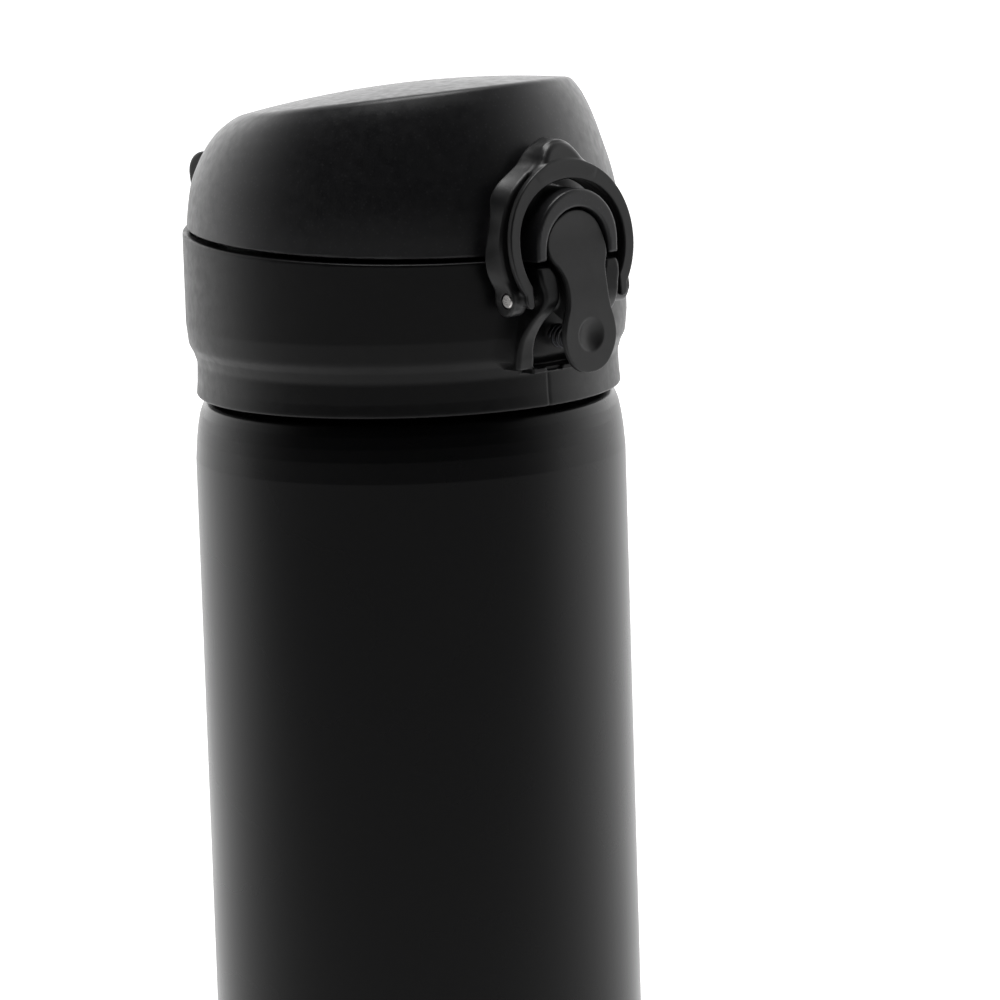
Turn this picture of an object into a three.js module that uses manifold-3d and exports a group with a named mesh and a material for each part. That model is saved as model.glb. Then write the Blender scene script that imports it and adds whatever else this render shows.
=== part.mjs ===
// One-touch vacuum flask: double-walled steel bottle with a screw-on cap unit. The cap carries a
// flip lid on a rear hinge, a front latch lever and a swing-up lock ring.
// Millimetres, +Z up. Z = 0 is the plane it stands on, X = Y = 0 is the bottle axis.
// The latch faces -Y and the hinge is at +Y.

import * as THREE from 'three';
import { mergeVertices } from 'three/addons/utils/BufferGeometryUtils.js';
import Module from 'manifold-3d';

const wasm = await Module();
wasm.setup();

// ---------- driving dimensions ----------
const ZC = 173.7;             // height of the cap's lower edge
const R_BODY = 32.0;          // painted outer bottle
const WALL_OUT = 0.5;         // outer bottle wall
const R_IN_OUT = 30.0;        // inner bottle, outside
const WALL_IN = 0.4;          // inner bottle wall
const R_NECK = 23.5;          // steel neck, outside
const PITCH = 4.0;            // neck thread
const R_CREST = 24.5;         // neck thread crest
const Z_RIM = 15.5;           // drinking-mouth rim of the steel bottle, above ZC
const R_COLLAR = 32.73;       // cap collar
const COLLAR_TOP = 23.62;     // collar top edge on the axis, above ZC
const SLOPE_SPLIT = 0.0452;   // the parting line rises to the rear
const LID_EDGE = 24.3;        // lid lower edge on the axis, above ZC
const LID_RIM = 43.35;        // lid upper rim on the axis, above ZC
const SLOPE_TOP = -0.139;     // the lid top falls to the rear
const DOME = 2.05;            // crown of the lid top
const LID_WALL = 2.0;
const HINGE_Y = 35.0, HINGE_Z = 30.8;   // lid hinge axis, along X
const PIN_Y = -35.3, PIN_Z = 17.0;      // latch pin axis, along X
const RING_Z = 24.5;          // centre of the lock ring
const R_RING_IN = 10.08;      // lock ring, inside
const RING_LEAN = 0.094;      // the ring leans back against the lid
const N_BIG = 40, N_MID = 32, N_SMALL = 28;

// ---------- helpers ----------
const z0 = (z) => ZC + z;

function cleaned(geometry) {
  let g = geometry.clone();
  for (const name of Object.keys(g.attributes)) if (name !== 'position') g.deleteAttribute(name);
  g = mergeVertices(g, 1e-4);
  const index = g.index.array, kept = [];
  for (let i = 0; i < index.length; i += 3) {
    const a = index[i], b = index[i + 1], c = index[i + 2];
    if (a !== b && b !== c && c !== a) kept.push(a, b, c);
  }
  const p = g.attributes.position.array;
  let volume = 0;
  for (let i = 0; i < kept.length; i += 3) {
    const [a, b, c] = [kept[i] * 3, kept[i + 1] * 3, kept[i + 2] * 3];
    volume += p[a] * (p[b + 1] * p[c + 2] - p[b + 2] * p[c + 1])
      - p[a + 1] * (p[b] * p[c + 2] - p[b + 2] * p[c])
      + p[a + 2] * (p[b] * p[c + 1] - p[b + 1] * p[c]);
  }
  if (volume < 0) for (let i = 0; i < kept.length; i += 3) [kept[i], kept[i + 1]] = [kept[i + 1], kept[i]];
  g.setIndex(kept);
  return g;
}

const solid = (geometry) => {
  const g = cleaned(geometry);
  return new wasm.Manifold(new wasm.Mesh({
    numProp: 3,
    vertProperties: new Float32Array(g.attributes.position.array),
    triVerts: new Uint32Array(g.index.array),
  }));
};

function geometryOf(manifold) {
  const mesh = manifold.getMesh();
  const g = new THREE.BufferGeometry();
  g.setAttribute('position', new THREE.BufferAttribute(new Float32Array(mesh.vertProperties), 3));
  g.setIndex(new THREE.BufferAttribute(new Uint32Array(mesh.triVerts), 1));
  g.computeVertexNormals();
  return g;
}

// profile of [radius, height above ZC]; a profile off the axis is closed on itself
function turned(profile, segments, base = ZC) {
  const points = profile.map(([r, z]) => new THREE.Vector2(r, z + base));
  const first = points[0], last = points[points.length - 1];
  if (first.x > 1e-6 || last.x > 1e-6) points.push(first.clone());
  const g = new THREE.LatheGeometry(points, segments);
  g.rotateX(Math.PI / 2);
  return g;
}

const AXES_FRONT = new THREE.Matrix4().makeBasis(
  new THREE.Vector3(1, 0, 0), new THREE.Vector3(0, 0, 1), new THREE.Vector3(0, -1, 0));
const AXES_SIDE = new THREE.Matrix4().makeBasis(
  new THREE.Vector3(0, 1, 0), new THREE.Vector3(0, 0, 1), new THREE.Vector3(1, 0, 0));

// outline of [x, height above ZC], from yBack forward to yFront
function slabFront(outline, yFront, yBack) {
  const shape = new THREE.Shape(outline.map(([x, z]) => new THREE.Vector2(x, z0(z))));
  const g = new THREE.ExtrudeGeometry(shape, { depth: yBack - yFront, bevelEnabled: false });
  g.applyMatrix4(AXES_FRONT);
  g.translate(0, yBack, 0);
  return g;
}

// outline of [y, height above ZC], from xLow to xHigh
function slabSide(outline, xLow, xHigh) {
  const shape = new THREE.Shape(outline.map(([y, z]) => new THREE.Vector2(y, z0(z))));
  const g = new THREE.ExtrudeGeometry(shape, { depth: xHigh - xLow, bevelEnabled: false });
  g.applyMatrix4(AXES_SIDE);
  g.translate(xLow, 0, 0);
  return g;
}

function block(x, y, z) {
  const g = new THREE.BoxGeometry(x[1] - x[0], y[1] - y[0], z[1] - z[0]);
  g.translate((x[0] + x[1]) / 2, (y[0] + y[1]) / 2, z0((z[0] + z[1]) / 2));
  return g;
}

// rod along X through (y, z)
function rodX(radius, x, y, z, sides = 16) {
  const g = new THREE.CylinderGeometry(radius, radius, x[1] - x[0], sides);
  g.rotateZ(Math.PI / 2);
  g.rotateX(Math.PI / sides);
  g.translate((x[0] + x[1]) / 2, y, z0(z));
  return g;
}

// a stack of rectangles: [z, xLow, xHigh, yFront, yBack] from top to bottom
function stack(levels) {
  const position = [], index = [];
  for (const [z, xa, xb, yf, yb] of levels) {
    position.push(xa, yf, z0(z), xb, yf, z0(z), xb, yb, z0(z), xa, yb, z0(z));
  }
  const quad = (a, b, c, d) => index.push(a, b, c, a, c, d);
  for (let i = 0; i + 1 < levels.length; i++) {
    for (let k = 0; k < 4; k++) {
      const m = (k + 1) % 4;
      quad(4 * i + k, 4 * (i + 1) + k, 4 * (i + 1) + m, 4 * i + m);
    }
  }
  quad(0, 1, 2, 3);
  const e = 4 * (levels.length - 1);
  quad(e + 3, e + 2, e + 1, e);
  const g = new THREE.BufferGeometry();
  g.setAttribute('position', new THREE.Float32BufferAttribute(position, 3));
  g.setIndex(index);
  return g;
}

// closed surface through rings of equal length; a single point closes either end
function loft(rings) {
  const position = [], starts = [], index = [];
  for (const ring of rings) {
    starts.push(position.length / 3);
    for (const p of ring) position.push(...p);
  }
  for (let i = 0; i + 1 < rings.length; i++) {
    const a = rings[i], b = rings[i + 1], n = Math.max(a.length, b.length);
    for (let k = 0; k < n; k++) {
      const a0 = starts[i] + k % a.length, a1 = starts[i] + (k + 1) % a.length;
      const b0 = starts[i + 1] + k % b.length, b1 = starts[i + 1] + (k + 1) % b.length;
      if (a.length > 1) index.push(a0, b0, a1);
      if (b.length > 1) index.push(a1, b0, b1);
    }
  }
  const g = new THREE.BufferGeometry();
  g.setAttribute('position', new THREE.Float32BufferAttribute(position, 3));
  g.setIndex(index);
  return g;
}

function arc(cx, cz, r, from, to, steps) {
  const out = [];
  for (let i = 0; i <= steps; i++) {
    const a = THREE.MathUtils.degToRad(from + (to - from) * i / steps);
    out.push([cx + r * Math.cos(a), cz + r * Math.sin(a)]);
  }
  return out;
}

class Wire extends THREE.Curve {
  constructor(at) { super(); this.at = at; }
  getPoint(t, target = new THREE.Vector3()) { return target.set(...this.at(t)); }
}

function wire(at, radius, steps, sides = 6) {
  const section = new THREE.Shape();
  for (let i = 0; i < sides; i++) {
    const a = 2 * Math.PI * i / sides;
    if (i) section.lineTo(radius * Math.cos(a), radius * Math.sin(a));
    else section.moveTo(radius * Math.cos(a), radius * Math.sin(a));
  }
  section.closePath();
  return new THREE.ExtrudeGeometry(section, { steps, bevelEnabled: false, extrudePath: new Wire(at) });
}

// helical ridge: section of [radius, height] swept up a right-hand helix
function ridge(section, zStart, turns, stepsPerTurn, angle0) {
  const steps = Math.round(turns * stepsPerTurn), rings = [];
  for (let i = 0; i <= steps; i++) {
    const a = angle0 + 2 * Math.PI * i / stepsPerTurn;
    const rise = zStart + PITCH * i / stepsPerTurn;
    rings.push(section.map(([r, h]) => [r * Math.cos(a), r * Math.sin(a), z0(rise + h)]));
  }
  const centre = (ring) => [ring.reduce((s, p) => [s[0] + p[0] / ring.length, s[1] + p[1] / ring.length, s[2] + p[2] / ring.length], [0, 0, 0])];
  return loft([centre(rings[0]), ...rings, centre(rings[rings.length - 1])]);
}

// ---------- materials ----------
const mat = (color, roughness, metalness) => new THREE.MeshStandardMaterial({ color, roughness, metalness });
const satinBlack = mat(0x08080a, 0.42, 0.0);
const lidBlack = mat(0x121214, 0.62, 0.0);
const partBlack = mat(0x131315, 0.52, 0.0);
const innerBlack = mat(0x17171a, 0.5, 0.0);
const steel = mat(0xb9bcc0, 0.3, 1.0);
const pinSteel = mat(0xc9c7c2, 0.28, 1.0);
const springSteel = mat(0xa6a8ab, 0.35, 1.0);
const copper = mat(0xb87044, 0.3, 1.0);
const silicone = mat(0xb8bbbd, 0.6, 0.0);
const padGrey = mat(0x1b1b1d, 0.75, 0.0);

const group = new THREE.Group();
function add(name, geometry, material) {
  const closed = cleaned(geometry);
  closed.computeVertexNormals();
  const mesh = new THREE.Mesh(closed, material);
  mesh.name = name;
  group.add(mesh);
}

// ---------- double-walled bottle ----------
const shellProfile = [
  [27.4, 3.2, 1], [27.4, 0.9, 1], [28.2, 0.4, 1], [29.4, 0.4, 1], [31.1, 1.2, 1], [31.8, 2.2, 1], [R_BODY, 3.6, 1],
  [R_BODY, -8], [31.8, -6.3], [31.3, -4.8], [30.7, -3.3], [29.5, -1.7], [27.6, -0.6], [25.4, 0.4], [24.1, 1.5], [R_NECK, 3.0], [R_NECK, 14.7],
  [R_NECK - WALL_OUT, 14.7], [R_NECK - WALL_OUT, 2.9], [24.2, 0.6], [27.2, -1.1], [29.1, -2.1], [30.75, -5.0], [R_BODY - WALL_OUT, -8],
  [R_BODY - WALL_OUT, 3.7, 1], [30.8, 1.6, 1], [29.3, 0.9, 1], [27.9, 0.9, 1], [27.9, 3.2, 1],
].map(([r, z, fromFloor]) => [r, fromFloor ? z - ZC : z]);
const neckThread = ridge([[R_NECK - 0.3, -1.0], [R_NECK - 0.3, 1.0], [R_CREST, 0.45], [R_CREST, -0.45]], 6.2, 1.2, 18, -Math.PI / 2);
add('outer_shell', geometryOf(solid(turned(shellProfile, N_BIG)).add(solid(neckThread))), satinBlack);

const innerProfile = [
  [0, 7.0, 1], [24, 7.0, 1], [28.2, 8.4, 1], [R_IN_OUT, 12.0, 1],
  [R_IN_OUT, -9.5], [28.6, -6.0], [23.9, -2.9], [22.4, -0.2], [22.4, 15.0], [R_NECK, 15.0], [R_NECK, Z_RIM],
  [22.0, Z_RIM], [22.0, -0.4], [23.6, -3.3], [28.3, -6.4], [R_IN_OUT - WALL_IN, -9.6],
  [R_IN_OUT - WALL_IN, 12.1, 1], [27.9, 8.7, 1], [23.9, 7.4, 1], [0, 7.4, 1],
].map(([r, z, fromFloor]) => [r, fromFloor ? z - ZC : z]);
add('inner_bottle', turned(innerProfile, N_MID), steel);

add('radiation_foil', turned([[30.35, 14 - ZC], [30.55, 14 - ZC], [30.55, -14], [30.35, -14]], N_SMALL), copper);

add('base_plate', turned([[0, 3.6], [3.8, 3.6], [5.2, 2.4], [25.4, 2.4], [27.0, 1.4], [27.0, 3.0], [25.6, 2.9], [5.6, 2.9], [4.2, 4.1], [0, 4.1]], N_MID, 0), steel);
add('vacuum_seal_bead', turned([[0, 2.1], [2.2, 2.2], [3.0, 2.7], [2.4, 3.2], [0, 3.3]], 20, 0), mat(0x8f9092, 0.5, 0.6));
{
  const getter = turned([[0, 4.3], [3.6, 4.3], [4.0, 4.7], [4.0, 5.5], [3.6, 5.9], [0, 5.9]], 20, 0);
  getter.translate(13, 6, 0);
  add('getter_pellet', getter, mat(0x77797c, 0.6, 0.5));
}
add('base_pad', turned([[0, 0], [26.0, 0], [26.6, 0.5], [26.6, 1.1], [24.6, 1.9], [0, 1.9]], N_BIG, 0), padGrey);

// ---------- cap unit: seals, threaded sleeve, collar, spout ----------
add('mouth_gasket', turned([[21.1, 15.9], [24.3, 15.9], [24.8, 16.4], [24.8, 17.5], [21.1, 17.5]], N_MID), silicone);

const sleeveProfile = [
  [27.2, 1.9], [27.2, 3.9], [29.4, 3.9], [29.4, 5.4], [27.2, 5.4], [27.2, 19.2], [15.0, 19.2], [15.0, 17.8], [25.3, 17.8], [25.3, 1.9],
];
// starts half a pitch from the neck's ridge
const sleeveThread = ridge([[25.5, 0.8], [25.5, -0.8], [24.1, -0.3], [24.1, 0.3]], 5.2, 1.2, 18, 0);
const sleeve = solid(turned(sleeveProfile, N_BIG)).add(solid(sleeveThread));
add('threaded_sleeve', geometryOf(sleeve), innerBlack);

add('drinking_spout', turned([
  [12.0, 17.9], [12.0, 31.6], [12.5, 32.7], [13.1, 33.0], [13.8, 32.4], [14.0, 30.5], [14.9, 22.9], [15.8, 22.2], [20.0, 22.2], [20.0, 19.5],
  [19.0, 19.5], [19.0, 21.0], [14.7, 21.0], [14.7, 17.9],
], N_MID), innerBlack);
add('spout_gasket', turned([[15.4, 19.8], [16.6, 19.5], [17.8, 19.8], [17.8, 20.4], [16.6, 20.7], [15.4, 20.4]], N_SMALL), silicone);

const collarProfile = [
  [31.3, 0.1], [31.5, 0.45], [31.35, 2.0], [31.25, 4.2], [31.25, 5.4], [31.45, 6.1], [31.9, 6.9], [32.3, 7.7], [32.55, 8.9], [R_COLLAR, 11.0], [R_COLLAR, COLLAR_TOP],
  [31.4, COLLAR_TOP], [30.7, 22.0], [20.6, 22.0], [20.6, 20.6], [29.7, 20.6], [29.7, 0.1],
];
const collarBody = turned(collarProfile, N_BIG);
{
  const p = collarBody.attributes.position;
  for (let i = 0; i < p.count; i++) if (p.getZ(i) > z0(COLLAR_TOP) - 1e-3) p.setZ(i, z0(COLLAR_TOP + SLOPE_SPLIT * p.getY(i)));
}
// latch brackets beside the lever: [height, inner x, outer x, front y]
const bracket = [
  [21.6, 5.3, 7.7, -38.2], [20.6, 4.75, 7.75, -38.6], [19.5, 4.3, 7.7, -38.8], [18.0, 4.25, 7.3, -39.0], [17.0, 4.3, 7.2, -39.05],
  [16.0, 4.45, 7.25, -38.75], [15.0, 4.75, 7.45, -38.0], [13.7, 5.2, 7.7, -36.8], [12.2, 5.45, 8.0, -35.7], [10.8, 5.5, 8.2, -34.9],
  [9.0, 5.35, 8.3, -34.3], [7.6, 5.1, 8.25, -34.0], [6.3, 4.9, 8.2, -33.7],
];
// hinge ears with the web that joins them below the lid's knuckles: [y, height]
const ear = [...arc(HINGE_Y, HINGE_Z, 3.2, 205, -10, 10), [36.4, 20.5], [33.2, 13.0], [31.0, 12.0], [30.2, 22.0], [32.1, 22.6], [32.1, 29.4]];
const web = [[37.2, 25.0], [36.4, 20.5], [33.2, 13.0], [31.0, 12.0], [30.2, 22.0], [32.0, 22.6], [33.6, 24.6], [35.4, 26.3], [36.6, 26.3]];
let collar = solid(collarBody);
for (const side of [-1, 1]) {
  collar = collar.add(solid(stack(bracket.map(([z, xi, xo, yf]) => side > 0 ? [z, xi, xo, yf, -30.0] : [z, -xo, -xi, yf, -30.0]))));
  collar = collar.add(solid(slabSide(ear, side > 0 ? 7.4 : -10.0, side > 0 ? 10.0 : -7.4)));
}
collar = collar.add(solid(slabSide(web, -8.2, 8.2)));
collar = collar.add(solid(block([-5.2, 5.2], [-33.9, -30.4], [5.6, 6.4])));
collar = collar.subtract(solid(rodX(1.45, [-9, 9], PIN_Y, PIN_Z, 12)));
collar = collar.subtract(solid(rodX(1.6, [-9.6, 9.6], HINGE_Y, HINGE_Z, 12)));
add('collar', geometryOf(collar), partBlack);

// ---------- lid ----------
// side section as radius against height fraction, at the rear and at the front
const sideU = [0, 0.15, 0.29, 0.43, 0.56, 0.69, 0.80, 0.90, 1.0];
const sideRear = [32.1, 31.85, 31.57, 31.14, 30.32, 29.3, 28.2, 26.6, 24.1];
const sideFront = [32.15, 31.9, 31.5, 30.75, 29.8, 28.85, 27.9, 26.8, 25.2];
function lidRing(i, inset, lower, n = N_BIG) {
  const ring = [];
  for (let k = 0; k < n; k++) {
    const a = 2 * Math.PI * k / n, s = -Math.cos(a);
    const w = 0.5 + 0.5 * (1.791 * s - 0.597 * s * s * s);
    const rOut = w * sideRear[i] + (1 - w) * sideFront[i], r = rOut - inset;
    const yOut = rOut * s;
    const z = LID_EDGE + SLOPE_SPLIT * yOut + sideU[i] * (LID_RIM - LID_EDGE + (SLOPE_TOP - SLOPE_SPLIT) * yOut) - lower;
    ring.push([r * Math.sin(a), r * s, z0(z)]);
  }
  return ring;
}
function domeRing(fraction, drop, n = N_BIG) {
  const ring = [];
  for (let k = 0; k < n; k++) {
    const a = 2 * Math.PI * k / n, s = -Math.cos(a);
    const w = 0.5 + 0.5 * (1.791 * s - 0.597 * s * s * s);
    const r = fraction * (w * sideRear[8] + (1 - w) * sideFront[8]);
    ring.push([r * Math.sin(a), r * s, z0(LID_RIM + SLOPE_TOP * r * s + DOME * (1 - fraction * fraction) - drop)]);
  }
  return ring;
}
const lidSurface = loft([
  [[0, 0, z0(LID_RIM + DOME)]], domeRing(0.4, 0), domeRing(0.75, 0),
  ...[8, 7, 6, 5, 4, 3, 2, 1, 0].map((i) => lidRing(i, 0, 0)),
  ...[0, 2, 4, 6].map((i) => lidRing(i, LID_WALL, 0)), domeRing(0.9, LID_WALL + 0.6), [[0, 0, z0(LID_RIM + DOME - LID_WALL - 0.4)]],
]);
// arch that stands on the lid's front around the lever head
const arch = [...arc(0, 24.5, 7.77, 0, 180, 18), [-7.77, 22.4], [-5.95, 22.4], ...arc(0, 23.65, 5.95, 180, 0, 16), [5.95, 22.4], [7.77, 22.4]];
const knuckle = [...arc(HINGE_Y, HINGE_Z, 3.0, 110, -120, 10), [30.0, 28.0], [30.0, 33.8]];
let lid = solid(lidSurface);
lid = lid.add(solid(slabFront(arch, -38.4, -29.8)));
lid = lid.add(solid(block([-3.4, 3.4], [-34.8, -31.2], [23.2, 25.6])));
for (const side of [-1, 1]) lid = lid.add(solid(slabSide(knuckle, side > 0 ? 4.0 : -7.1, side > 0 ? 7.1 : -4.0)));
lid = lid.subtract(solid(rodX(1.6, [-9, 9], HINGE_Y, HINGE_Z, 12)));
add('lid_shell', geometryOf(lid), lidBlack);

add('lid_liner', turned([
  [0, 31.4], [8.0, 31.4], [8.0, 33.0], [5.0, 33.0], [5.0, 35.0], [17.0, 35.0], [17.0, 31.0], [18.2, 31.0], [18.2, 35.0], [26.0, 35.0], [26.0, 36.4], [0, 36.4],
], N_MID), innerBlack);
add('stopper_seal', turned([
  [0, 29.3], [8.5, 29.3], [10.4, 30.0], [11.2, 31.5], [11.4, 33.3], [14.2, 33.3], [14.2, 34.1], [9.0, 34.7], [5.4, 34.7], [5.4, 33.4], [8.4, 33.4], [8.4, 31.0], [0, 31.0],
], N_SMALL), silicone);

add('hinge_pin', rodX(1.2, [-9.3, 9.3], HINGE_Y, HINGE_Z, 16), pinSteel);
{
  // torsion spring on the hinge pin: one leg down to the collar's web, one forward to the lid
  const r = 2.15, turns = 4, x1 = 2.9;
  const at = (t) => {
    const lead = 0.12;
    if (t < lead) return [-x1, HINGE_Y + r, z0(HINGE_Z - 3.6 * (lead - t) / lead)];
    if (t > 1 - lead) return [x1, HINGE_Y - 3.3 * (t - 1 + lead) / lead, z0(HINGE_Z + r)];
    const s = (t - lead) / (1 - 2 * lead), a = s * (turns + 0.25) * 2 * Math.PI;
    return [-x1 + 2 * x1 * s, HINGE_Y + r * Math.cos(a), z0(HINGE_Z + r * Math.sin(a))];
  };
  add('lid_spring', wire(at, 0.4, 52, 5), springSteel);
}

// ---------- latch ----------
// lever face: [height, half width, face y]
const leverOutline = [
  [29.2, 0, -37.7], [28.9, 1.8, -37.7], [28.1, 3.33, -37.75], [26.9, 4.52, -37.8], [25.3, 5.34, -37.9], [23.6, 5.6, -38.05], [22.4, 5.25, -38.5],
  [21.4, 4.5, -39.1], [20.2, 4.05, -39.7], [18.9, 3.85, -40.2], [17.0, 3.8, -40.55], [15.6, 4.0, -40.65], [14.4, 4.35, -40.7], [13.2, 4.75, -40.7],
  [11.5, 5.0, -40.7], [10.0, 4.85, -40.65], [8.6, 4.35, -40.65], [7.3, 3.5, -40.6], [6.4, 2.4, -40.55], [5.95, 1.2, -40.55], [5.85, 0, -40.55],
];
let lever = solid(stack(leverOutline.map(([z, h, y]) => [z, -h, h, y, y + 1.6])));
lever = lever.add(solid(stack([[28.0, -2.6, 2.6, -36.6, -35.6], [24.0, -3.4, 3.4, -36.9, -35.6], [21.0, -3.2, 3.2, -37.9, -35.0], [18.9, -3.0, 3.0, -38.8, -34.2],
  [15.2, -3.0, 3.0, -39.2, -34.4], [13.2, -2.8, 2.8, -39.2, -37.6], [8.6, -2.4, 2.4, -39.2, -37.7]])));
lever = lever.add(solid(block([-2.6, 2.6], [-36.2, -33.4], [25.9, 27.8])));
lever = lever.add(solid(rodX(2.1, [-3.9, 3.9], PIN_Y, PIN_Z, 16)));
lever = lever.subtract(solid(rodX(1.45, [-5, 5], PIN_Y, PIN_Z, 12)));
{
  const dimple = new THREE.SphereGeometry(6.0, 20, 10);
  dimple.translate(0.0, -40.7 - 5.4, z0(11.3));
  lever = lever.subtract(solid(dimple));
}
add('latch_lever', geometryOf(lever), partBlack);
add('latch_pin', rodX(1.1, [-11.4, 11.4], PIN_Y, PIN_Z, 16), pinSteel);
{
  const r = 1.6, turns = 3.5, ya = -36.9, yb = -33.2;
  const at = (t) => {
    const a = t * turns * 2 * Math.PI;
    return [r * Math.cos(a), ya + (yb - ya) * t, z0(10.6) + r * Math.sin(a)];
  };
  add('latch_spring', wire(at, 0.25, 36, 5), springSteel);
}

// lock ring: thin front band, and a scalloped rear flange with the thumb tab; the whole ring leans back
const flatten = ([x, z]) => [x, z - 0.95 * Math.max(0, (z - RING_Z) / R_RING_IN) ** 2];   // the opening is 1 mm low at its top
const ringInner = [[8.4, 16.9], [8.4, 18.6], ...arc(0, RING_Z, R_RING_IN, -33.6, 90, 14).map(flatten)];
const frontHalf = [...arc(0, RING_Z, 11.9, 90, -34.6, 13), [9.75, 16.6], [9.3, 15.9], [8.6, 15.8]];
const backHalf = [
  [0, 39.2], [1.9, 38.5], [3.35, 37.7], [4.35, 36.9], [5.4, 35.7], [7.0, 34.85], [9.15, 33.65], [10.35, 32.6], [11.0, 31.4], [11.3, 29.8],
  [11.9, 27.7], [12.45, 25.6], [12.95, 23.6], [12.9, 21.4], [12.3, 19.5], [11.3, 18.1], [11.3, 16.9],
];
const ringOutline = (outer) => {
  const right = [...outer, ...ringInner];
  return right.concat(right.slice(1, -1).reverse().map(([x, z]) => [-x, z]));
};
let ring = solid(slabFront(ringOutline(backHalf), -35.4, -32.5));
ring = ring.add(solid(slabFront(ringOutline(frontHalf), -37.2, -35.2)));
ring = ring.transform([1, 0, 0, 0, 0, 1, 0, 0, 0, RING_LEAN, 1, 0, 0, -RING_LEAN * z0(25.5), 0, 1]);
for (const side of [-1, 1]) ring = ring.add(solid(rodX(2.4, side > 0 ? [8.6, 11.3] : [-11.3, -8.6], PIN_Y, PIN_Z, 20)));
ring = ring.subtract(solid(rodX(1.4, [-13, 13], PIN_Y, PIN_Z, 12)));
add('lock_ring', geometryOf(ring), partBlack);

export default group;
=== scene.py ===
"""Looks of the one-touch vacuum flask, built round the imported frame. Works in millimetres and writes metres."""

import math

import bpy
import numpy as np
from mathutils import Matrix, Vector


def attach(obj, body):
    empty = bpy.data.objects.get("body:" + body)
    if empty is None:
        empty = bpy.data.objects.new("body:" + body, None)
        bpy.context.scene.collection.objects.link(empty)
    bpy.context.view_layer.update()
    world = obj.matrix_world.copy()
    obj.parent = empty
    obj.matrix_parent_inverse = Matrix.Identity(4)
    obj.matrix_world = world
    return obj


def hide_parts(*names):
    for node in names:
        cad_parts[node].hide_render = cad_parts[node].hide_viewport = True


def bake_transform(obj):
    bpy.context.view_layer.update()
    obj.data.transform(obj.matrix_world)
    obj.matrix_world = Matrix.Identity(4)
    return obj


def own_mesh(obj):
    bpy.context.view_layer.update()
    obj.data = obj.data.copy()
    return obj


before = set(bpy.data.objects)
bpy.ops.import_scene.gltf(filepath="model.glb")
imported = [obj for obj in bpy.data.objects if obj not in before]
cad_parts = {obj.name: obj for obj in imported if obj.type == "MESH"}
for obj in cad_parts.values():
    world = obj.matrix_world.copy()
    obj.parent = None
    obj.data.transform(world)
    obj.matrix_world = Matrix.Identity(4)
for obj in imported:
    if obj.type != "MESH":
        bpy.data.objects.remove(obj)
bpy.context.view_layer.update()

ZC = 173.7          # height of the cap's lower edge, mm
HINGE = (35.0, 30.8)
PIN = (-35.3, 17.0)


# ------------------------------------------------------------------ mesh helpers
def make_object(name, verts, faces, material, body, replaced=(), normals=None):
    """verts in mm, frame coordinates. faces is an (n, 3|4) array or a list."""
    me = bpy.data.meshes.new(name)
    verts = np.asarray(verts, float) / 1000.0
    if isinstance(faces, np.ndarray):
        n, k = faces.shape
        me.vertices.add(len(verts))
        me.vertices.foreach_set("co", verts.astype(np.float32).ravel())
        me.loops.add(n * k)
        me.loops.foreach_set("vertex_index", faces.astype(np.int32).ravel())
        me.polygons.add(n)
        me.polygons.foreach_set("loop_start", np.arange(0, n * k, k, dtype=np.int32))
        me.polygons.foreach_set("use_smooth", np.ones(n, bool))
        me.update(calc_edges=True)
    else:
        me.from_pydata(verts.tolist(), [], faces)
        me.polygons.foreach_set("use_smooth", np.ones(len(me.polygons), bool))
        me.update()
    me.validate()
    if normals is not None and len(me.vertices) == len(normals):
        me.normals_split_custom_set_from_vertices(normals.tolist())
    ob = bpy.data.objects.new(name, me)
    bpy.context.scene.collection.objects.link(ob)
    me.materials.append(material)
    if body:
        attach(ob, body)
    if replaced:
        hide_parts(*replaced)
    return ob


def fillet(points, closed):
    """points: (r, z, radius). Rounds the corners and adds support points beside them."""
    pts = [np.array(p[:2], float) for p in points]
    rad = [p[2] if len(p) > 2 else 0.0 for p in points]
    n, out = len(pts), []
    for i in range(n):
        p = pts[i]
        if not closed and i in (0, n - 1) or rad[i] <= 0:
            out.append(p)
            continue
        a, b = pts[(i - 1) % n] - p, pts[(i + 1) % n] - p
        la, lb = np.linalg.norm(a), np.linalg.norm(b)
        a, b = a / la, b / lb
        angle = math.acos(float(np.clip(a @ b, -1, 1)))
        if angle > math.pi - 0.02:
            out.append(p)
            continue
        t = min(rad[i] / math.tan(angle / 2), la * 0.48, lb * 0.48)
        r = t * math.tan(angle / 2)
        start, end = p + a * t, p + b * t
        centre = p + (a + b) / np.linalg.norm(a + b) * (r / math.sin(angle / 2))
        v0, v1 = start - centre, end - centre
        a0, a1 = math.atan2(v0[1], v0[0]), math.atan2(v1[1], v1[0])
        d = (a1 - a0 + math.pi) % (2 * math.pi) - math.pi
        steps = max(2, int(abs(d) / 0.26) + 1)
        margin = min(0.12, r * 0.3)
        if la * 0.5 - t > margin:
            out.append(p + a * (t + margin))
        for k in range(steps + 1):
            q = a0 + d * k / steps
            out.append(centre + r * np.array([math.cos(q), math.sin(q)]))
        if lb * 0.5 - t > margin:
            out.append(p + b * (t + margin))
    return out


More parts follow.
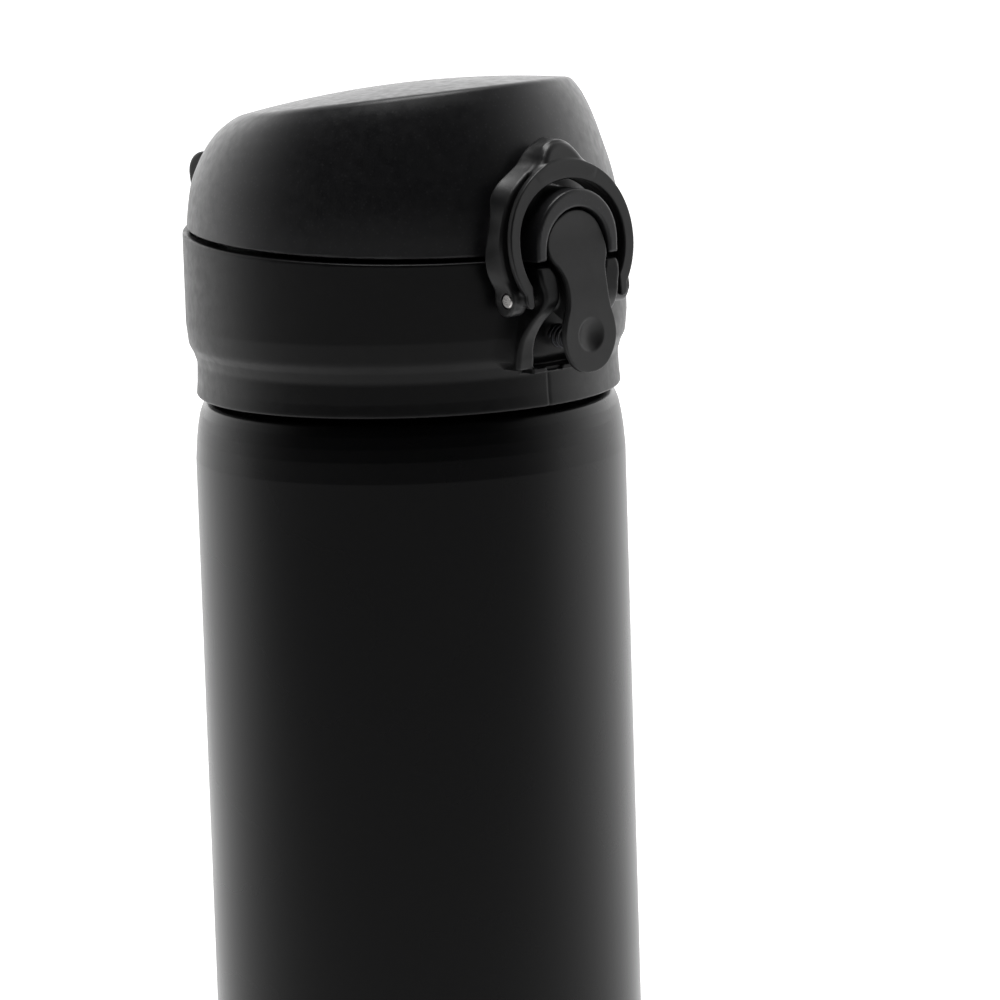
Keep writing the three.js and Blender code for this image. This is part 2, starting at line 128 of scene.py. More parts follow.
def lathe(points, n, closed=None, base=ZC):
    """Turned solid round Z. Returns verts, quads and triangles as a face list. n divisions, front at -Y."""
    closed = closed if closed is not None else points[0][0] > 1e-6
    prof = fillet(points, closed)
    verts, rows = [], []
    for r, z in prof:
        if r < 1e-6:
            rows.append((len(verts), 1))
            verts.append((0.0, 0.0, z + base))
        else:
            rows.append((len(verts), n))
            for k in range(n):
                a = 2 * math.pi * k / n
                verts.append((r * math.sin(a), -r * math.cos(a), z + base))
    faces = []
    m = len(rows)
    for i in range(m if closed else m - 1):
        (a, ca), (b, cb) = rows[i], rows[(i + 1) % m]
        if ca == 1 and cb == 1:
            continue
        for k in range(n):
            k2 = (k + 1) % n
            if ca == 1:
                faces.append((a, b + k2, b + k))
            elif cb == 1:
                faces.append((a + k, a + k2, b))
            else:
                faces.append((a + k, a + k2, b + k2, b + k))
    return orient(verts, faces)


def orient(verts, faces):
    v = np.asarray(verts, float)
    vol = 0.0
    for f in faces:
        for i in range(1, len(f) - 1):
            vol += float(np.dot(v[f[0]], np.cross(v[f[i]], v[f[i + 1]])))
    if vol < 0:
        faces = [tuple(reversed(f)) for f in faces]
    return v, faces


def tube(path, radius, sides=14, caps=True):
    """Round tube along points in mm, with rounded ends."""
    p = np.asarray(path, float)
    t = np.gradient(p, axis=0)
    t /= np.linalg.norm(t, axis=1)[:, None]
    ref = np.array([0.3, 0.2, 0.93])
    nrm = ref - t[0] * (ref @ t[0])
    nrm /= np.linalg.norm(nrm)
    rings, verts, faces = [], [], []
    for i in range(len(p)):
        nrm = nrm - t[i] * (nrm @ t[i])
        nrm /= np.linalg.norm(nrm)
        bi = np.cross(t[i], nrm)
        rings.append((p[i], nrm.copy(), bi, radius, t[i]))
    head = [(rings[0][0] - rings[0][4] * radius * 0.35 * math.cos(q), *rings[0][1:3], radius * (0.6 + 0.4 * math.sin(q)), rings[0][4]) for q in (0.0, 0.8)]
    tail = [(rings[-1][0] + rings[-1][4] * radius * 0.35 * math.cos(q), *rings[-1][1:3], radius * (0.6 + 0.4 * math.sin(q)), rings[-1][4]) for q in (0.8, 0.0)]
    rings = head + rings + tail
    for c, a, b, r, _ in rings:
        for k in range(sides):
            q = 2 * math.pi * k / sides
            verts.append(c + r * (math.cos(q) * a + math.sin(q) * b))
    for i in range(len(rings) - 1):
        for k in range(sides):
            k2 = (k + 1) % sides
            faces.append((i * sides + k, i * sides + k2, (i + 1) * sides + k2, (i + 1) * sides + k))
    c0, c1 = len(verts), len(verts) + 1
    verts += [rings[0][0], rings[-1][0]]
    for k in range(sides):
        k2 = (k + 1) % sides
        faces.append((c0, k2, k))
        o = (len(rings) - 1) * sides
        faces.append((c1, o + k, o + k2))
    return orient(verts, faces)


# ------------------------------------------------------------------ implicit surfaces
def smin(a, b, k):
    h = np.maximum(k - np.abs(a - b), 0.0) / k
    return np.minimum(a, b) - h * h * k * 0.25


def smax(a, b, k):
    return -smin(-a, -b, k)


def spline(xs, ys):
    """Monotone-ish cubic through the knots, as a function of an array."""
    xs, ys = np.asarray(xs, float), np.asarray(ys, float)
    m = np.gradient(ys, xs)

    def f(x):
        x = np.clip(x, xs[0], xs[-1])
        i = np.clip(np.searchsorted(xs, x) - 1, 0, len(xs) - 2)
        h = xs[i + 1] - xs[i]
        t = (x - xs[i]) / h
        return ((2 * t**3 - 3 * t**2 + 1) * ys[i] + (t**3 - 2 * t**2 + t) * h * m[i]
                + (-2 * t**3 + 3 * t**2) * ys[i + 1] + (t**3 - t**2) * h * m[i + 1])
    return f


def smooth_closed(points, per=6):
    """Catmull-Rom through a closed list of points; a point with a third value 1 stays a corner."""
    p = np.array([q[:2] for q in points], float)
    corner = [len(q) > 2 and q[2] for q in points]
    n, out = len(p), []
    for i in range(n):
        p0, p1, p2, p3 = p[(i - 1) % n], p[i], p[(i + 1) % n], p[(i + 2) % n]
        if corner[i]:
            p0 = 2 * p1 - p2
        if corner[(i + 1) % n]:
            p3 = 2 * p2 - p1
        for k in range(per):
            t = k / per
            out.append(0.5 * ((2 * p1) + (-p0 + p2) * t + (2 * p0 - 5 * p1 + 4 * p2 - p3) * t * t + (-p0 + 3 * p1 - 3 * p2 + p3) * t**3))
    return np.array(out)


class Outline:
    """Signed distance to a closed 2-D outline, from a table."""

    def __init__(self, poly, step=0.1, margin=6.0):
        poly = np.asarray(poly, float)
        self.lo = poly.min(0) - margin
        hi = poly.max(0) + margin
        self.step = step
        nx, ny = (np.ceil((hi - self.lo) / step).astype(int) + 2)
        gx = self.lo[0] + np.arange(nx) * step
        gy = self.lo[1] + np.arange(ny) * step
        X, Y = np.meshgrid(gx, gy, indexing="ij")
        X, Y = X.ravel(), Y.ravel()
        best = np.full(X.shape, 1e9)
        inside = np.zeros(X.shape, bool)
        m = len(poly)
        for i in range(m):
            a, b = poly[i], poly[(i + 1) % m]
            e = b - a
            L = e @ e
            if L < 1e-12:
                continue
            wx, wy = X - a[0], Y - a[1]
            t = np.clip((wx * e[0] + wy * e[1]) / L, 0, 1)
            dx, dy = wx - e[0] * t, wy - e[1] * t
            best = np.minimum(best, dx * dx + dy * dy)
            if a[1] != b[1]:
                cond = (a[1] > Y) != (b[1] > Y)
                inside ^= cond & (X < (b[0] - a[0]) * (Y - a[1]) / (b[1] - a[1]) + a[0])
        d = np.sqrt(best)
        self.t = np.where(inside, -d, d).reshape(nx, ny)

    def __call__(self, x, y):
        fx = np.clip((x - self.lo[0]) / self.step, 0, self.t.shape[0] - 1.001)
        fy = np.clip((y - self.lo[1]) / self.step, 0, self.t.shape[1] - 1.001)
        i, j = fx.astype(np.int32), fy.astype(np.int32)
        u, v = fx - i, fy - j
        t = self.t
        return (t[i, j] * (1 - u) * (1 - v) + t[i + 1, j] * u * (1 - v) + t[i, j + 1] * (1 - u) * v + t[i + 1, j + 1] * u * v)


def grid_mesh(fn, lo, hi, h, relax=1):
    """Surface nets over fn(x, y, z) in mm, then the points are moved onto the surface. Returns verts, quads, normals."""
    lo, hi = np.array(lo, float), np.array(hi, float)
    B = 12
    nb = np.ceil((hi - lo) / (h * B)).astype(int)
    n = nb * B + 1
    F = np.empty(n, np.float32)
    half = h * B * math.sqrt(3) / 2
    bi = np.stack(np.meshgrid(*[np.arange(k) for k in nb], indexing="ij"), -1).reshape(-1, 3)
    centre = lo + (bi + 0.5) * B * h
    fc = fn(centre[:, 0], centre[:, 1], centre[:, 2])
    loc = np.stack(np.meshgrid(*[np.arange(B + 1)] * 3, indexing="ij"), -1).reshape(-1, 3)
    for b, f in zip(bi, fc):
        i, j, k = b * B
        if abs(f) > half * 1.25 + 0.3:
            F[i:i + B + 1, j:j + B + 1, k:k + B + 1] = f
    near = bi[np.abs(fc) <= half * 1.25 + 0.3]
    for s in range(0, len(near), 200):
        part = near[s:s + 200]
        idx = (part[:, None, :] * B + loc[None]).reshape(-1, 3)
        p = lo + idx * h
        F[idx[:, 0], idx[:, 1], idx[:, 2]] = fn(p[:, 0], p[:, 1], p[:, 2])
    S = F < 0
    c = np.zeros(np.array(n) - 1, np.int8)
    for dx in (0, 1):
        for dy in (0, 1):
            for dz in (0, 1):
                c += S[dx:n[0] - 1 + dx, dy:n[1] - 1 + dy, dz:n[2] - 1 + dz]
    cells = np.argwhere((c > 0) & (c < 8))
    index = np.full(c.shape, -1, np.int32)
    index[cells[:, 0], cells[:, 1], cells[:, 2]] = np.arange(len(cells))
    acc, cnt = np.zeros((len(cells), 3)), np.zeros(len(cells))
    corners = [(0, 0, 0), (1, 0, 0), (0, 1, 0), (1, 1, 0), (0, 0, 1), (1, 0, 1), (0, 1, 1), (1, 1, 1)]
    for a in range(8):
        for b in range(a + 1, 8):
            ca, cb = np.array(corners[a]), np.array(corners[b])
            if np.abs(ca - cb).sum() != 1:
                continue
            ia, ib = cells + ca, cells + cb
            fa, fb = F[ia[:, 0], ia[:, 1], ia[:, 2]], F[ib[:, 0], ib[:, 1], ib[:, 2]]
            m = (fa < 0) != (fb < 0)
            t = (fa[m] / (fa[m] - fb[m]))[:, None]
            acc[m] += ca * (1 - t) + cb * t
            cnt[m] += 1
    V = lo + (cells + acc / cnt[:, None]) * h
    quads = []
    for axis in range(3):
        s0 = [slice(None)] * 3
        s1 = [slice(None)] * 3
        s0[axis], s1[axis] = slice(0, -1), slice(1, None)
        change = S[tuple(s0)] != S[tuple(s1)]
        e = np.argwhere(change)
        u, v = (axis + 1) % 3, (axis + 2) % 3
        ok = (e[:, u] > 0) & (e[:, v] > 0) & (e[:, u] < n[u] - 1) & (e[:, v] < n[v] - 1)
        e = e[ok]
        du, dv = np.zeros(3, int), np.zeros(3, int)
        du[u] = 1
        dv[v] = 1
        q = np.stack([index[tuple((e - du - dv).T)], index[tuple((e - dv).T)], index[tuple(e.T)], index[tuple((e - du).T)]], 1)
        inside = S[tuple(e.T)]
        q[~inside] = q[~inside][:, ::-1]
        quads.append(q)
    Q = np.concatenate(quads)

    def value(p):
        return fn(p[:, 0], p[:, 1], p[:, 2])

    def gradient(p, e):
        g = np.empty_like(p)
        for a in range(3):
            d = np.zeros(3)
            d[a] = e
            g[:, a] = (value(p + d) - value(p - d)) / (2 * e)
        return g

    def project(p, times):
        for _ in range(times):
            g = gradient(p, 0.05)
            g2 = np.maximum((g * g).sum(1), 0.05)
            step = (value(p) / g2)[:, None] * g
            L = np.linalg.norm(step, axis=1)[:, None]
            p = p - step * np.minimum(1, 0.45 * h / np.maximum(L, 1e-9))
        return p
    V = project(V, 2)
    for _ in range(relax):
        s, k = np.zeros_like(V), np.zeros(len(V))
        for a in range(4):
            i, j = Q[:, a], Q[:, (a + 1) % 4]
            for q in range(3):
                s[:, q] += np.bincount(i, V[j, q], len(V)) + np.bincount(j, V[i, q], len(V))
            k += np.bincount(i, minlength=len(V)) + np.bincount(j, minlength=len(V))
        V = V * 0.4 + 0.6 * s / k[:, None]
        V = project(V, 2)
    N = gradient(V, 0.06)
    N /= np.maximum(np.linalg.norm(N, axis=1), 1e-9)[:, None]
    return V, Q, N


def implicit(name, fn, lo, hi, h, material, body, replaced, relax=1):
    """fn takes x, y and the height above the cap's lower edge."""
    V, Q, N = grid_mesh(fn, lo, hi, h, relax)
    V = V + np.array([0, 0, ZC])
    ob = make_object(name, V, Q, material, body, replaced, normals=N)
    print("PIECE", name, len(V), "verts")
    return ob


# ------------------------------------------------------------------ materials
def new_material(name):
    m = bpy.data.materials.new(name)
    m.use_nodes = True
    nt = m.node_tree
    bsdf = nt.nodes["Principled BSDF"]
    return m, nt, bsdf


def noise(nt, scale, detail=3.0, rough=0.5, coords=None):
    n = nt.nodes.new("ShaderNodeTexNoise")
    n.inputs["Scale"].default_value = scale
    n.inputs["Detail"].default_value = detail
    n.inputs["Roughness"].default_value = rough
    if coords is None:
        coords = nt.nodes.get("OBJ") or nt.nodes.new("ShaderNodeTexCoord")
        coords.name = "OBJ"
        coords = coords.outputs["Object"]
    nt.links.new(coords, n.inputs["Vector"])
    return n


def ramp(nt, source, a, b, lo, hi):
    r = nt.nodes.new("ShaderNodeMapRange")
    r.inputs["From Min"].default_value = a
    r.inputs["From Max"].default_value = b
    r.inputs["To Min"].default_value = lo
    r.inputs["To Max"].default_value = hi
    nt.links.new(source, r.inputs["Value"])
    return r.outputs["Result"]


def bump(nt, bsdf, sources):
    """sources: (height socket, strength, distance in m)"""
    last = None
    for height, strength, distance in sources:
        b = nt.nodes.new("ShaderNodeBump")
        b.inputs["Strength"].default_value = strength
        b.inputs["Distance"].default_value = distance
        nt.links.new(height, b.inputs["Height"])
        if last is not None:
            nt.links.new(last, b.inputs["Normal"])
        last = b.outputs["Normal"]
    nt.links.new(last, bsdf.inputs["Normal"])


def mix_color(nt, fac, c0, c1):
    m = nt.nodes.new("ShaderNodeMix")
    m.data_type = "RGBA"
    m.inputs[6].default_value = (*c0, 1)
    m.inputs[7].default_value = (*c1, 1)
    nt.links.new(fac, m.inputs[0])
    return m.outputs[2]


def plastic(name, dark, light, rough, grain_scale, grain, speck=0.0, spec=0.45, spread=0.06, edge=0.0):
    m, nt, b = new_material(name)
    big = noise(nt, 60, 3)
    fine = noise(nt, grain_scale, 2, 0.6)
    mid = noise(nt, grain_scale * 0.28, 2, 0.55)
    b.inputs["Specular IOR Level"].default_value = spec
    col = mix_color(nt, ramp(nt, big.outputs["Fac"], 0.3, 0.7, 0, 1), dark, light)
    if speck:
        v = nt.nodes.new("ShaderNodeTexVoronoi")
        v.inputs["Scale"].default_value = grain_scale * 0.55
        nt.links.new(nt.nodes["OBJ"].outputs["Object"], v.inputs["Vector"])
        dots = ramp(nt, v.outputs["Distance"], 0.10, 0.26, speck, 0.0)
        mm = nt.nodes.new("ShaderNodeMix")
        mm.data_type = "RGBA"
        nt.links.new(dots, mm.inputs[0])
        nt.links.new(col, mm.inputs[6])
        mm.inputs[7].default_value = (0.16, 0.16, 0.17, 1)
        col = mm.outputs[2]
    nt.links.new(col, b.inputs["Base Color"])
    nt.links.new(ramp(nt, mid.outputs["Fac"], 0.25, 0.75, rough - spread, rough + spread), b.inputs["Roughness"])
    bump(nt, b, [(mid.outputs["Fac"], grain * 0.5, 0.00006), (fine.outputs["Fac"], grain, 0.00003)])
    return m


def metal(name, color, rough, stretch, strength, spec_aniso=0.0):
    m, nt, b = new_material(name)
    b.inputs["Metallic"].default_value = 1.0
    b.inputs["Anisotropic"].default_value = spec_aniso
    tc = nt.nodes.new("ShaderNodeTexCoord")
    tc.name = "OBJ"
    mp = nt.nodes.new("ShaderNodeMapping")
    mp.inputs["Scale"].default_value = stretch
    nt.links.new(tc.outputs["Object"], mp.inputs["Vector"])
    lines = noise(nt, 900, 3, 0.6, mp.outputs["Vector"])
    cloud = noise(nt, 45, 2, 0.5, tc.outputs["Object"])
    dark = tuple(c * 0.86 for c in color)
    nt.links.new(mix_color(nt, ramp(nt, cloud.outputs["Fac"], 0.3, 0.7, 0, 1), dark, color), b.inputs["Base Color"])
    nt.links.new(ramp(nt, lines.outputs["Fac"], 0.3, 0.7, rough - 0.05, rough + 0.07), b.inputs["Roughness"])
    bump(nt, b, [(lines.outputs["Fac"], strength, 0.00002)])
    return m


def body_paint():
    m, nt, b = new_material("body_paint")
    b.inputs["Specular IOR Level"].default_value = 0.22
    peel = noise(nt, 1500, 2, 0.5)
    cloud = noise(nt, 35, 3, 0.5)
    dust = noise(nt, 5200, 1, 0.5)
    nt.links.new(mix_color(nt, ramp(nt, cloud.outputs["Fac"], 0.3, 0.7, 0, 1), (0.0016, 0.0016, 0.0020), (0.0026, 0.0026, 0.0031)), b.inputs["Base Color"])
    nt.links.new(ramp(nt, cloud.outputs["Fac"], 0.25, 0.75, 0.25, 0.30), b.inputs["Roughness"])
    bump(nt, b, [(peel.outputs["Fac"], 0.10, 0.00005), (dust.outputs["Fac"], 0.06, 0.00002)])
    return m


def silicone_material(name, tint, rough=0.42):
    m, nt, b = new_material(name)
    b.inputs["Subsurface Weight"].default_value = 0.5
    b.inputs["Subsurface Scale"].default_value = 0.002
    b.inputs["Subsurface Radius"].default_value = (1.0, 0.9, 0.8)
    b.inputs["Specular IOR Level"].default_value = 0.4
    cloud = noise(nt, 120, 3, 0.5)
    fine = noise(nt, 1800, 2, 0.5)
    nt.links.new(mix_color(nt, ramp(nt, cloud.outputs["Fac"], 0.3, 0.7, 0, 1), tuple(c * 0.9 for c in tint), tint), b.inputs["Base Color"])
    nt.links.new(ramp(nt, fine.outputs["Fac"], 0.3, 0.7, rough - 0.05, rough + 0.06), b.inputs["Roughness"])
    bump(nt, b, [(fine.outputs["Fac"], 0.12, 0.00003)])
    return m


M_BODY = body_paint()
M_LID = plastic("lid_plastic", (0.0100, 0.0100, 0.0112), (0.0145, 0.0145, 0.0158), 0.38, 2600, 0.17, speck=0.075, spec=0.45)
M_COLLAR = plastic("collar_plastic", (0.0024, 0.0024, 0.0028), (0.0038, 0.0038, 0.0043), 0.38, 2300, 0.22, spec=0.28)
M_RING = plastic("ring_plastic", (0.0090, 0.0090, 0.0095), (0.0125, 0.0125, 0.0130), 0.35, 1700, 0.20, spec=0.5)
M_LEVER = plastic("lever_plastic", (0.0110, 0.0110, 0.0115), (0.0150, 0.0150, 0.0155), 0.46, 2000, 0.20, spec=0.45)
M_INNER = plastic("inner_plastic", (0.010, 0.010, 0.011), (0.014, 0.014, 0.015), 0.40, 1500, 0.12, spec=0.5)
M_PAD = plastic("pad_rubber", (0.012, 0.012, 0.012), (0.018, 0.018, 0.018), 0.72, 1400, 0.35, spec=0.3)
M_STEEL = metal("bottle_steel", (0.60, 0.61, 0.62), 0.26, (0.6, 0.6, 8.0), 0.12)
M_PIN = metal("pin_steel", (0.86, 0.84, 0.82), 0.30, (1.0, 4.0, 4.0), 0.15)
M_SPRING = metal("spring_steel", (0.55, 0.55, 0.56), 0.32, (1.0, 1.0, 1.0), 0.10)
M_DARK_WIRE = metal("black_spring_wire", (0.055, 0.055, 0.060), 0.38, (1.0, 1.0, 1.0), 0.10)
M_FOIL = metal("foil_copper", (0.80, 0.42, 0.26), 0.24, (1.0, 1.0, 3.0), 0.25)
M_SOLDER = metal("solder_grey", (0.40, 0.40, 0.41), 0.48, (1.0, 1.0, 1.0), 0.30)
M_SILICONE = silicone_material("silicone_grey", (0.42, 0.43, 0.44))


# ------------------------------------------------------------------ shared shapes
def shear(z, y, top=23.6, start=12.0):
    """The collar's upper part leans with the parting line."""
    w = np.clip((z - start) / (top - start), 0, 1.15)
    return z - 0.0452 * y * w


def box2(u, v, cu, cv, hu, hv, r):
    """Rounded rectangle in two dimensions."""
    qu, qv = np.abs(u - cu) - (hu - r), np.abs(v - cv) - (hv - r)
    return np.hypot(np.maximum(qu, 0), np.maximum(qv, 0)) + np.minimum(np.maximum(qu, qv), 0) - r


def arc(cx, cz, r, a0, a1, n):
    return [(cx + r * math.cos(math.radians(a0 + (a1 - a0) * i / n)), cz + r * math.sin(math.radians(a0 + (a1 - a0) * i / n))) for i in range(n + 1)]


# collar
collar_profile = Outline(fillet([
    (31.3, 0.1, 0.12), (31.52, 0.4, 0.15), (31.36, 2.0, 3.0), (31.25, 5.1, 1.6), (31.75, 6.7, 0.9), (32.4, 7.9, 1.8), (32.73, 11.0, 4.0), (32.73, 23.62, 0.38), (31.45, 23.62, 0.25),
    (30.75, 22.0, 0.5), (20.6, 22.0, 0.3), (20.6, 20.7, 0.3), (29.8, 20.7, 0.4), (29.8, 0.1, 0.15)], True))
br_z = [6.2, 7.6, 9.0, 10.8, 12.2, 13.7, 15.0, 16.0, 17.0, 18.0, 19.5, 20.6, 21.7]
br_in = spline(br_z, [4.9, 5.1, 5.35, 5.5, 5.45, 5.2, 4.75, 4.45, 4.3, 4.25, 4.3, 4.75, 5.35])
br_out = spline(br_z, [8.15, 8.25, 8.3, 8.2, 8.0, 7.7, 7.4, 7.2, 7.15, 7.25, 7.65, 7.75, 7.7])
br_front = spline(br_z, [-33.6, -34.0, -34.3, -34.9, -35.7, -36.8, -38.0, -38.7, -39.0, -38.98, -38.8, -38.6, -38.2])
ear_outline = Outline(arc(HINGE[0], HINGE[1], 3.15, 205, -10, 24) + fillet([(36.5, 21.0, 6.0), (33.4, 13.4, 3.0), (31.0, 11.8, 0), (30.2, 22.0, 0), (32.1, 22.6, 0), (32.1, 29.4, 0)], False))
web_outline = Outline(fillet([(37.2, 25.0, 0.4), (36.4, 20.5, 6.0), (33.2, 13.0, 3.0), (31.0, 12.0, 0), (30.2, 22.0, 0), (32.0, 22.6, 0), (33.6, 24.6, 1.5), (35.4, 26.2, 0.6), (36.7, 26.2, 0.4)], True))


def collar_fn(x, y, z):
    ax = np.abs(x)
    r = np.hypot(x, y)
    zs = shear(z, y)
    d = collar_profile(r, zs)
    # brackets beside the lever
    inner = (br_in(z) - ax) * 0.9
    outer = (ax - br_out(z)) * 0.9
    front = (br_front(z) - y) * 0.8
    side = smax(inner, outer, 0.4)
    b = smax(side, front, 0.55)
    b = smax(b, smax(z - 21.6, 6.3 - z, 0.2), 0.35)
    b = np.maximum(b, y + 30.0)
    fil = 2.0 * np.clip((y + 35.6) / 2.2, 0.04, 1.0) * np.where(ax > 6.0, 1.0, 0.3) * np.clip((z - 6.3) / 1.2, 0.1, 1.0)
    hh = np.maximum(fil - np.abs(d - b), 0.0) / fil
    d = np.minimum(d, b) - hh * hh * fil * 0.25
    # floor of the pocket, with its slot
    ledge = smax(box2(y, z, -32.1, 6.0, 1.8, 0.42, 0.15), ax - 5.3, 0.2)
    ledge = smax(ledge, -smax(np.abs(x + 1.2) - 1.5, smax(y + 33.3, 5.9 - z, 0.1), 0.2), 0.2)
    d = smin(d, ledge, 0.4)
    # clearance round the pin for the ring's legs
    d = smax(d, -smax(np.hypot(y - PIN[0], z - PIN[1]) - 3.3, 8.0 - ax, 0.3), 0.3)
    # mould seam down the lower front
    d = d + 0.07 * np.exp(-((x + 0.2) / 0.22) ** 2) * ((y < -28.0) & (z < 5.6))
    # rear hinge block
    e = smax(ear_outline(y, z), np.abs(ax - 8.7) - 1.3, 0.9)
    w = smax(web_outline(y, z), ax - 8.2, 0.4)
    hinge = smin(e, w, 0.5)
    d = smin(d, hinge, 1.2 * np.clip((26.0 - z) / 4.0, 0.02, 1.0))
    d = np.maximum(d, -smax(np.hypot(y - PIN[0], z - PIN[1]) - 1.16, ax - 9.0, 0.1))
    d = smax(d, -smax(np.hypot(y - HINGE[0], z - HINGE[1]) - 1.27, ax - 9.55, 0.1), 0.15)
    return d


# lid
lid_u = [0, 0.15, 0.29, 0.43, 0.56, 0.69, 0.80, 0.90, 1.0, 1.12]
lid_rear = spline(lid_u, [32.1, 31.85, 31.55, 31.1, 30.32, 29.3, 28.15, 26.6, 24.1, 20.2])
lid_front = spline(lid_u, [32.15, 31.9, 31.48, 30.72, 29.8, 28.85, 27.9, 26.8, 25.2, 22.9])
arch_outline = Outline([(7.77, 22.35)] + arc(0, 24.5, 7.77, 0, 180, 60) + [(-7.77, 22.35), (-5.95, 22.35)] + arc(0, 23.65, 5.95, 180, 0, 60) + [(5.95, 22.35)])
knuckle_outline = Outline(arc(HINGE[0], HINGE[1], 2.95, 110, -120, 24) + [(30.0, 28.0), (30.0, 33.8)])


def lid_fn(x, y, z):
    r = np.hypot(x, y)
    ax = np.abs(x)
    s = y / np.maximum(r, 1e-6)
    w = 0.5 + 0.5 * (1.791 * s - 0.597 * s**3)
    ye = s * np.clip(r, 20.0, 34.0)
    zb = 24.3 + 0.0452 * ye
    zt = 43.35 - 0.139 * ye
    u = (z - zb) / (zt - zb)
    R = w * lid_rear(u) + (1 - w) * lid_front(u)
    side = (r - R) * np.where(u > 0.9, 0.75, 0.9)
    ry = 43.35 - 0.139 * y
    top = (z - (ry + 2.05 * (1 - np.minimum(r / 24.5, 1.25) ** 2))) * 0.98
    bottom = (24.3 + 0.0452 * y) - z
    outer = smax(smax(side, top, 0.5), bottom, 0.35)
    inner = smax(side + 2.0, top + 2.3, 1.5)
    d = smax(outer, -inner, 0.5)
    a = smax(arch_outline(x, z), np.abs(y + 33.5) - 4.9, 0.5)
    d = smin(d, a, 0.5)
    ledge = smax(smax(ax - 3.4, np.abs(z - 24.4) - 1.2, 0.3), np.abs(y + 33.0) - 1.8, 0.3)
    d = smin(d, ledge, 0.3)
    k = smax(knuckle_outline(y, z), np.abs(ax - 5.55) - 1.55, 0.6)
    d = smin(d, k, 0.6 * np.clip((33.5 - y) / 2.0, 0.05, 1.0))
    d = np.maximum(d, -(np.hypot(y - HINGE[0], z - HINGE[1]) - 1.27))
    return d


# lever
lever_half = [(0, 29.2), (1.0, 29.12), (1.85, 28.88), (3.33, 28.1), (4.52, 26.9), (5.34, 25.3), (5.6, 23.6), (5.28, 22.4), (4.55, 21.3), (4.08, 20.2), (3.85, 18.9), (3.8, 17.2),
              (3.98, 15.6), (4.35, 14.4), (4.74, 13.1), (5.0, 11.5), (4.87, 10.0), (4.36, 8.6), (3.46, 7.2), (2.4, 6.35), (1.2, 5.93), (0, 5.82)]
lever_outline = Outline(smooth_closed(lever_half + [(-a, b) for a, b in lever_half[-2:0:-1]], 4))
lever_face = spline([5.8, 11, 14.5, 17, 19.3, 21.4, 22.8, 24.2, 29.3], [-40.5, -40.6, -40.6, -40.45, -40.0, -39.15, -38.5, -38.0, -37.75])
core_w = spline([8.4, 13.2, 15.2, 18.9, 24, 28.0], [2.3, 2.8, 3.0, 3.0, 3.4, 2.4])
core_b = spline([8.4, 13.2, 15.2, 18.9, 21, 28.0], [-37.75, -37.6, -34.6, -34.4, -35.0, -35.65])
core_w2 = spline([8.4, 13.2, 15.2, 18.9, 24, 28.0], [3.3, 3.8, 3.1, 2.9, 4.3, 3.2])


def lever_fn(x, y, z):
    ax = np.abs(x)
    o = lever_outline(x, z)
    yf = lever_face(z)
    front, back = (yf - y) * 0.93, (y - yf - 0.85) * 0.93
    plate = smax(smax(o, front, 0.26), back, 0.2)
    under = smax(smax(ax - core_w2(z), (y - yf - 2.2) * 0.93, 0.3), smax(yf + 0.5 - y, np.abs(z - 18.0) - 9.6, 0.3), 0.3)
    plate = smin(plate, under, 0.15)
    core = smax(smax(ax - core_w(z), (y - core_b(z)) * 0.6, 0.5), smax(yf + 0.6 - y, np.abs(z - 18.2) - 9.8, 0.3), 0.3)
    d = smin(plate, core, 0.3)
    nose = smax(smax(ax - 2.6, np.abs(z - 26.85) - 0.95, 0.3), np.abs(y + 34.8) - 1.4, 0.3)
    d = smin(d, nose, 0.3)
    barrel = smax(np.hypot(y - PIN[0], z - PIN[1]) - 2.1, ax - 3.8, 0.3)
    d = smin(d, barrel, 0.6)
    dim = np.sqrt((x * 1.04)**2 + (y + 40.6 + 3.5)**2 + (z - 11.3)**2) - 4.3
    d = smax(d, -dim, 0.12)
    return d


# lock ring
def smooth_open(points, per=6):
    p = np.array(points, float)
    out = []
    for i in range(len(p) - 1):
        p0 = p[i - 1] if i else np.array([-p[1][0], p[1][1]])
        p1, p2 = p[i], p[i + 1]
        p3 = p[i + 2] if i + 2 < len(p) else 2 * p2 - p1
        for k in range(per):
            t = k / per
            out.append(tuple(0.5 * ((2 * p1) + (-p0 + p2) * t + (2 * p0 - 5 * p1 + 4 * p2 - p3) * t * t + (-p0 + 3 * p1 - 3 * p2 + p3) * t**3)))
    return out + [tuple(p[-1])]


RING_IN = [(8.4, 16.6), (8.4, 18.6)] + [(a, b - 0.95 * max(0.0, (b - 24.5) / 10.08) ** 2) for a, b in arc(0, 24.5, 10.08, -33.6, 90, 40)]


def ring_loop(outer):
    right = list(outer) + RING_IN
    return right + [(-a, b) for a, b in right[-2:0:-1]]


